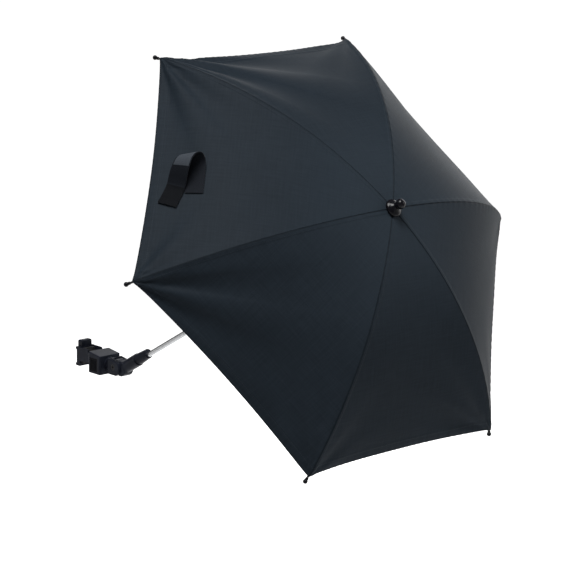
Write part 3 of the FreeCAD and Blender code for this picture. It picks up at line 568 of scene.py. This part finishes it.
def soft_step(distance, width, softness):
    """1 within a width and 0 beyond it, with a rounded edge: 1 / (1 + exp(x)), x being the distance past
    the width over the softness. The hyperbolic tangent is the same curve and can't overflow."""
    return 0.5 - 0.5 * np.tanh((distance - width) / (2 * softness))


def bell(distance, width):
    """A bell of height 1: exp(-(distance / width)^2)."""
    return np.exp(-(distance / width) ** 2)


def lathe(name, profile, around, material):
    """Turns a profile of (radius, height) points round the shaft: x = r cos a, y = r sin a, z = h. A
    flat face closes each end."""
    r, h = np.array(profile).T
    a = np.linspace(0, 2 * math.pi, around, endpoint=False)
    points = np.stack(np.broadcast_arrays(r[:, None] * np.cos(a), r[:, None] * np.sin(a), h[:, None]), -1)
    ring = np.arange(around)
    last = ring + (len(r) - 1) * around
    faces = [*grid_faces(len(r), around, closed=True), ring[::-1], last]
    return new_piece(name, to_part(points), faces, material)


def rounded_profile(points, lengths, steps=6):
    """A polyline of (radius, height) points whose inner corners are rounded by quadratic curves. Each
    curve takes up a set length of the two runs that meet there, or nearly half of a short run."""
    points = np.array(points, float)
    most = 0.48
    t = np.linspace(0, 1, steps)[:, None]
    out = [points[0]]
    for before, corner, after, length in zip(points, points[1:], points[2:], lengths):
        start = corner + unit(before - corner) * min(length, most * np.linalg.norm(before - corner))
        end = corner + unit(after - corner) * min(length, most * np.linalg.norm(after - corner))
        out.extend((1 - t) ** 2 * start + 2 * t * (1 - t) * corner + t ** 2 * end)
    out.append(points[-1])
    return np.array(out)


def shell(name, points, normals, thickness, material):
    """A thin closed skin in the parasol's frame: a grid of points, the same grid set back along its
    normals by the thickness, and a rim between their edges. Returns the piece and its outer faces."""
    rows, columns = points.shape[:2]
    count = rows * columns
    both = np.concatenate([points.reshape(-1, 3), (points - normals * thickness).reshape(-1, 3)])
    top = grid_faces(rows, columns)
    below = top[:, ::-1] + count
    ring = np.concatenate([
        np.arange(columns),
        np.arange(1, rows) * columns + columns - 1,
        (rows - 1) * columns + np.arange(columns - 2, -1, -1),
        np.arange(rows - 2, 0, -1) * columns,
    ])
    after = np.roll(ring, -1)
    rim = np.stack([ring, ring + count, after + count, after], -1)
    piece = new_piece(name, to_part(both), np.concatenate([top, below, rim]), material)
    turned = (to_part(normals) - BASE).reshape(-1, 3)
    corners = np.concatenate([top, below]).ravel()
    shading = np.zeros((len(piece.data.loops), 3))
    shading[:len(corners)] = np.concatenate([turned, -turned])[corners]
    piece.data.normals_split_custom_set(shading.tolist())
    return piece, top


def write_uv(mesh, name, values):
    """A UV map from values at the corners of a shell's outer faces. The inner faces take the same."""
    both = np.zeros((len(mesh.loops), 2), np.float32)
    count = len(values) * 4
    both[:count] = values.reshape(-1, 2)
    both[count:2 * count] = values[:, ::-1].reshape(-1, 2)
    mesh.uv_layers.new(name=name).data.foreach_set("uv", both.ravel())


# Canopy


def profile_height(rho):
    """Height of the cloth at a distance rho from the shaft, measured square to the hem: an ellipse whose
    long half axis is the rib's radius and whose short one is that times the cosine of the half step."""
    return np.sqrt(FABRIC_R ** 2 - (rho / NARROW) ** 2)


def arc_length(rho):
    """Length along the middle of a panel from the shaft's axis to rho: a running sum of short chords,
    read off between its points."""
    table = np.linspace(0, TIP_RADIUS * NARROW * ARC_REACH, ARC_POINTS)
    steps = np.hypot(np.diff(table), np.diff(profile_height(table)))
    return np.interp(rho, table, np.concatenate([[0], np.cumsum(steps)]))


def across_share(rho, s):
    """Where s lies across the panel: -1 and 1 on its ribs, 0 at its middle."""
    return s / np.maximum(rho * SPREAD, NEARLY_ZERO)


def corner_wrinkles(panel, rho, s):
    """Ridges that fan out from the corners: each corner adds height * fan * ridge * x * exp(1 - x), where
    x is the distance from it over the reach. With q the share of the angle from the rib to the hem, the
    fan is sin(pi q) and the ridge sin(2 pi (count q + phase)), their sizes raised to FAN_POWER and
    RIDGE_POWER."""
    depth = arc_length(HEM_RHO) - arc_length(rho)
    total = np.zeros(np.broadcast(rho, s).shape)
    rib_angle = math.atan2(HEM_RHO * SPREAD, float(arc_length(HEM_RHO)))
    for side, (height, count, phase, reach) in zip((-1, 1), WRINKLES[panel]):
        inward = HEM_RHO * SPREAD - side * s
        x = np.hypot(depth, inward) / reach
        angle = np.arctan2(inward, np.maximum(depth, NEARLY_ZERO))
        q = np.clip((angle - rib_angle) / (math.pi / 2 - rib_angle), 0, 1)
        fan = np.sin(math.pi * q) ** FAN_POWER
        wave = np.sin(2 * math.pi * (count * q + phase))
        ridge = np.sign(wave) * np.abs(wave) ** RIDGE_POWER
        total += height * fan * ridge * x * np.exp(1 - x)
    return total


def slack(panel, rho, s):
    """Slow waves of loose cloth: three sines of unlike lengths, faded out at the ribs by 1 - u^2 and
    towards the crown in proportion to rho."""
    wave = 0.0
    for share, out, along, turn in SLACK_WAVES:
        wave = wave + share * np.sin(out * rho + along * s + turn * panel)
    return SLACK * wave * (1 - across_share(rho, s) ** 2) * np.clip(rho / HEM_RHO, 0, 1)


def panel_point(panel, rho, s, lift):
    """A point of the cloth in the parasol's frame. rho is the distance from the shaft square to the hem
    and s the distance along the hem from the middle of the panel. The cloth runs straight across between
    its ribs, on the ellipse of profile_height. It is moved along its normal by lift, wrinkles and slack,
    less a saddle sag of 1 - u^2 that grows with the square of rho, where u is s over the half width."""
    height = profile_height(rho)
    slope = np.hypot(rho / NARROW ** 2, height)
    sag = SAG * np.clip(rho / HEM_RHO, 0, SAG_LIMIT) ** 2 * (1 - across_share(rho, s) ** 2)
    move = lift - sag + corner_wrinkles(panel, rho, s) + slack(panel, rho, s)
    out = rho + move * rho / NARROW ** 2 / slope
    up = ARC_Z + height + move * height / slope
    middle = panel * 2 * HALF_STEP
    x = out * math.cos(middle) - s * math.sin(middle)
    y = out * math.sin(middle) + s * math.cos(middle)
    return np.stack([x, y, up], -1)


def hem_rho(panel, u):
    """Where the hem lies: at the corner radius on the ribs (u = -1 and 1), drawn in by the hem's cut at
    mid panel (u = 0), and by the drop at either corner soon after the rib, where the cloth is pulled out
    to the tip."""
    cut, first, last = HEMS[panel]
    drop = first * (1 - u) / 2 + last * (1 + u) / 2
    return HEM_RHO - cut * (1 - u ** 2) - drop * (1 - np.exp(-(1 - np.abs(u)) / CORNER_REACH))


def puckers(along, pitch, sway, wander):
    """Gathers along a row of stitches, of uneven pitch: sin(2 pi x / pitch + sway sin(wander x))."""
    return np.sin(2 * math.pi * along / pitch + sway * np.sin(wander * along))


def seam_relief(offset, side, rho):
    """Lifts the seam's lap, a flat fold SEAM_W wide on one side, sinks the sewn line and puckers it."""
    lap = SEAM_LAP * soft_step(offset, SEAM_W, FOLD_SOFTNESS) if side > 0 else 0.0
    groove = SEAM_GROOVE * bell(offset, GROOVE_HALF_W)
    pucker = SEAM_PUCKER * puckers(rho, *SEAM_PUCKER_WAVE) * np.exp(-offset / SEAM_PUCKER_REACH)
    return lap - groove + pucker


def hem_relief(from_edge, along):
    """Lifts the folded hem, a band HEM_W wide, sinks its row of stitches and puckers it."""
    fold = HEM_FOLD * soft_step(from_edge, HEM_W, FOLD_SOFTNESS)
    groove = HEM_GROOVE * bell(from_edge - HEM_W + HEM_STITCH_IN, GROOVE_HALF_W)
    pucker = HEM_PUCKER * puckers(along, *HEM_PUCKER_WAVE) * np.exp(-from_edge / HEM_PUCKER_REACH)
    return fold - groove + pucker


def half_sector(number, side):
    """Rows and columns of one half of a sector, from the rib (column 0) to just past mid panel.

    Near the rib the columns keep set distances from the seam, and near the hem the rows keep set
    distances from the edge. Returns the points, the cloth's own coordinates and the distances from the
    seam and the hem.
    """
    panel = (number if side > 0 else number - 1) % RIBS
    first = FABRIC_HOLE * NARROW
    body = first + (HEM_RHO - HEM_BAND - first) * np.linspace(0, 1, BODY_ROWS) ** ROW_CROWDING
    base = np.concatenate([body, HEM_RHO - HEM_LINES[::-1]])
    near = np.minimum(SEAM_LINES / (base * SPREAD)[:, None], SEAM_SHARES)
    far = near[:, -1:] + (1 - near[:, -1:]) * MIDDLE_SHARES
    share = np.concatenate([np.zeros((len(base), 1)), near, far], 1)
    u = 1 - share
    edge = hem_rho(panel, -side * np.clip(u, -1, 1))
    progress = (base - base[0]) / (base[-1] - base[0])
    rho = base[0] + (edge - base[0]) * progress[:, None]
    rho[BODY_ROWS:] = edge[BODY_ROWS:] - HEM_LINES[::-1, None]
    offset = rho * SPREAD * share
    from_middle = rho * SPREAD * u
    s = -side * from_middle
    lift = seam_relief(offset, side, rho) + hem_relief(edge - rho, from_middle)
    points = panel_point(panel, rho, s, lift)
    cloth = np.stack([s + panel * PANEL_PITCH, arc_length(rho)], -1)
    return points, cloth, np.stack([side * offset, edge - rho], -1)


def cloth_uv(mesh, top, ahead, behind):
    """UV in metres across and along each panel's grain. The two panels that meet at the rib have their
    own grain."""
    rows = ahead.shape[0]
    middle = ahead.shape[1] - 1
    blank = np.zeros((rows, middle, 2))
    first = np.concatenate([ahead, blank], 1).reshape(-1, 2)
    second = np.concatenate([blank, behind], 1).reshape(-1, 2)
    is_ahead = (top % (2 * middle + 1)).max(1) <= middle
    write_uv(mesh, "Weave", np.where(is_ahead[:, None, None], first[top], second[top]))


def canopy_sector(number, material):
    """One sixth of the cloth, centred on a rib, as a thin closed shell. Its two halves meet on the rib,
    and the columns past the middles of their panels serve only to find the normals there."""
    ahead, ahead_cloth, ahead_edge = half_sector(number, 1)
    behind, behind_cloth, behind_edge = half_sector(number, -1)
    points = np.concatenate([ahead[:, :0:-1], behind], 1)
    normals = normals_of(points)[:, 1:-1]
    piece, top = shell(f"canopy_cloth_{number}", points[:, 1:-1], normals, FABRIC_T, material)
    cloth_uv(piece.data, top, ahead_cloth[:, -2::-1], behind_cloth[:, :-1])
    edges = np.concatenate([ahead_edge[:, -2:0:-1], behind_edge[:, :-1]], 1)
    write_uv(piece.data, "Edges", edges.reshape(-1, 2)[top])
    return piece


# Strap


def spline(knots, count):
    """A smooth curve through the knots: Catmull-Rom cubics, p = (2b + (c - a) t + (2a - 5b + 4c - d) t^2
    + (3b - a - 3c + d) t^3) / 2 between b and c, with the ends doubled."""
    knots = np.concatenate([knots[:1], knots, knots[-1:]])
    where = np.linspace(0, len(knots) - 3 - 1e-9, count)
    i = where.astype(int)
    t = (where - i)[:, None]
    a, b, c, d = (knots[i + k] for k in range(4))
    square = (2 * a - 5 * b + 4 * c - d) * t ** 2
    cube = (3 * b - a - 3 * c + d) * t ** 3
    return (2 * b + (c - a) * t + square + cube) / 2


def on_cloth(along, down, lift):
    """A point over the strap's panel, given in metres: along the hem towards the panel's lower azimuth,
    down the cloth, and over it."""
    height = profile_height(STRAP_RHO)
    fall = height / math.hypot(STRAP_RHO / NARROW ** 2, height)
    return panel_point(STRAP_PANEL, STRAP_RHO + down * fall, STRAP_S - along, lift)


def strap(material):
    """A band that is swept along its course: each row is the course's point plus a share of the width,
    which turns from square across the panel to the tab's slant on the way. At the top of the loop the
    edge nearer the hem hangs back by the lean times exp(-(d / reach)^2), d being the distance from the
    top. The tab's end is folded and sewn. Returns the piece and the band's length."""
    course = spline(np.array(STRAP_COURSE, float) / 1000, STRAP_ROWS)
    run = np.concatenate([[0], np.cumsum(np.linalg.norm(np.diff(course, axis=0), axis=1))])
    to_end = run[-1] - run
    slant = STRAP_SLANT * np.clip((run - SLANT_START) / SLANT_RUN, 0, 1)
    across = np.linspace(-1, 1, STRAP_COLUMNS)
    shift = across * STRAP_W / 2
    fold = TAB_FOLD * soft_step(to_end, TAB_FOLD_RUN, TAB_FOLD_SOFTNESS)
    fold = fold - TAB_GROOVE * bell(to_end - TAB_GROOVE_IN, TAB_GROOVE_HALF_W)
    top_run = run[np.argmax(course[:, 0] + course[:, 2])]
    lean = bell(run - top_run, STRAP_LEAN_REACH)[:, None] * (1 + across) / 2
    along = course[:, :1] + np.sin(slant)[:, None] * shift - STRAP_LEAN[0] * lean
    down = course[:, 1:2] + np.cos(slant)[:, None] * shift - STRAP_LEAN[1] * lean
    lift = course[:, 2:] + fold[:, None] - STRAP_CURL * across ** 4 - STRAP_LEAN[2] * lean
    points = on_cloth(along, down, lift)
    piece, top = shell("strap", points, normals_of(points), STRAP_T, material)
    cloth = np.stack(np.broadcast_arrays(shift[None, :], run[:, None]), -1).reshape(-1, 2)
    write_uv(piece.data, "Weave", cloth[top])
    return piece, float(run[-1])


# Ferrule


def cap_profile():
    """Half outline of the ferrule, as radius and height: a foot on the cloth, a flared skirt, a waist
    and a ball. The skirt's corners are rounded and the ball is an arc."""
    foot = ARC_Z + FABRIC_R + CAP_FOOT_UP
    knob = TIP_HEIGHT + CAP_KNOB_UP
    skirt = rounded_profile([
        (CAP_BORE_R, foot),
        (CAP_FLARE_R - 0.0004, foot),
        (CAP_FLARE_R, foot + 0.0022),
        (CAP_FLARE_R - 0.0012, foot + 0.0040),
        (CAP_FLARE_R - 0.0052, foot + 0.0066),
        (CAP_KNOB_R - 0.0021, foot + 0.0090),
        (CAP_KNOB_R - 0.0022, knob - 0.0055),
    ], [0.0004, 0.0012, 0.0014, 0.0020, 0.0012])
    a = np.linspace(*CAP_BALL_ARC, CAP_BALL_ROWS)
    ball = np.stack([CAP_KNOB_R * np.cos(a), knob + CAP_KNOB_R * np.sin(a)], -1)
    return np.concatenate([skirt, ball])


# Staging


def look(position, azimuth, pitch, roll, lens):
    """A camera that looks along the heading, tipped down by the pitch and rolled about its own axis."""
    level = math.cos(pitch)
    back = Vector((math.sin(azimuth) * level, -math.cos(azimuth) * level, math.sin(pitch)))
    right = Vector((math.cos(azimuth), math.sin(azimuth), 0))
    up = back.cross(right)
    rolled = math.cos(roll) * right + math.sin(roll) * up
    upright = -math.sin(roll) * right + math.cos(roll) * up
    data = bpy.data.cameras.new("camera")
    data.lens = lens
    data.sensor_width = SENSOR
    data.clip_end = CAMERA_CLIP
    camera = bpy.data.objects.new("camera", data)
    camera.matrix_world = Matrix((
        (rolled.x, upright.x, back.x, position[0]),
        (rolled.y, upright.y, back.y, position[1]),
        (rolled.z, upright.z, back.z, position[2]),
        (0, 0, 0, 1),
    ))
    bpy.context.scene.collection.objects.link(camera)
    bpy.context.scene.camera = camera


def softbox(name, at, aim, width, power, spread):
    """A square soft box with a grid that keeps its light within the spread, in degrees."""
    data = bpy.data.lights.new(name, "AREA")
    data.size = width
    data.energy = power
    data.spread = math.radians(spread)
    light = bpy.data.objects.new(name, data)
    light.location = at
    light.rotation_mode = "QUATERNION"
    light.rotation_quaternion = (Vector(aim) - Vector(at)).to_track_quat("-Z", "Y")
    bpy.context.scene.collection.objects.link(light)


def studio():
    """A dim room, a floor of backlit paper and five soft boxes: over the canopy, behind it to the right,
    straight behind it, on its right, and a low wide one behind the clamp that sweeps over its top."""
    world = bpy.data.worlds.new("studio")
    world.use_nodes = True
    sky = world.node_tree.nodes["Background"]
    sky.inputs["Color"].default_value = (1, 1, 1, 1)
    sky.inputs["Strength"].default_value = SKY_STRENGTH
    bpy.context.scene.world = world
    reach = np.linspace(-FLOOR_HALF, FLOOR_HALF, 3)
    x, y = np.meshgrid(reach, reach, indexing="ij")
    floor = np.stack([x, y, np.full_like(x, CAD_BOX[0][2] - FLOOR_BELOW)], -1)
    new_piece("floor", floor, grid_faces(3, 3)[:, ::-1], backlit_paper())
    for name, values in SOFTBOXES.items():
        softbox(name, *values)
    bpy.context.scene.view_settings.view_transform = "Standard"


# Dressing the part


def gathers(piece, number):
    """Binds a soft piece to a rib: it rides on the rib, with a mesh of its own."""
    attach(piece, f"canopy_rib_{number}")
    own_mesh(piece)


def dress_nodes(finishes):
    """Gives each solid of the frame the finish of its material slot."""
    for row in frame["record"]["subparts"]:
        finish = finishes.get(row["material_slot"])
        if finish is not None:
            data = frame["nodes"][row["node"]].data
            data.materials.clear()
            data.materials.append(finish)


def dress_canopy():
    cloth = canopy_cloth()
    for number in range(1, RIBS + 1):
        piece = canopy_sector(number, cloth)
        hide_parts(f"canopy_sector_{number}")
        gathers(piece, number)


def dress_strap():
    piece, length = strap(strap_cloth())
    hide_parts("tie_strap")
    gathers(piece, STRAP_RIB)


def dress_cap(finish):
    piece = lathe("ferrule", cap_profile(), CAP_AROUND, finish)
    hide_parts("ferrule_cap")
    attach(piece, "parasol")


FINISHES = {
    **{name: moulded(name, *values) for name, values in PLASTICS.items()},
    "grip_rubber": grip_rubber(),
    "shaft_metal": anodised(),
    "plated_steel": plated_steel(),
    "rib_steel": coated_wire(),
}

dress_nodes(FINISHES)
dress_canopy()
dress_strap()
dress_cap(FINISHES["gloss_plastic"])
studio()
look(CAMERA_AT, CAMERA_AZIMUTH, CAMERA_PITCH, CAMERA_ROLL, CAMERA_LENS)
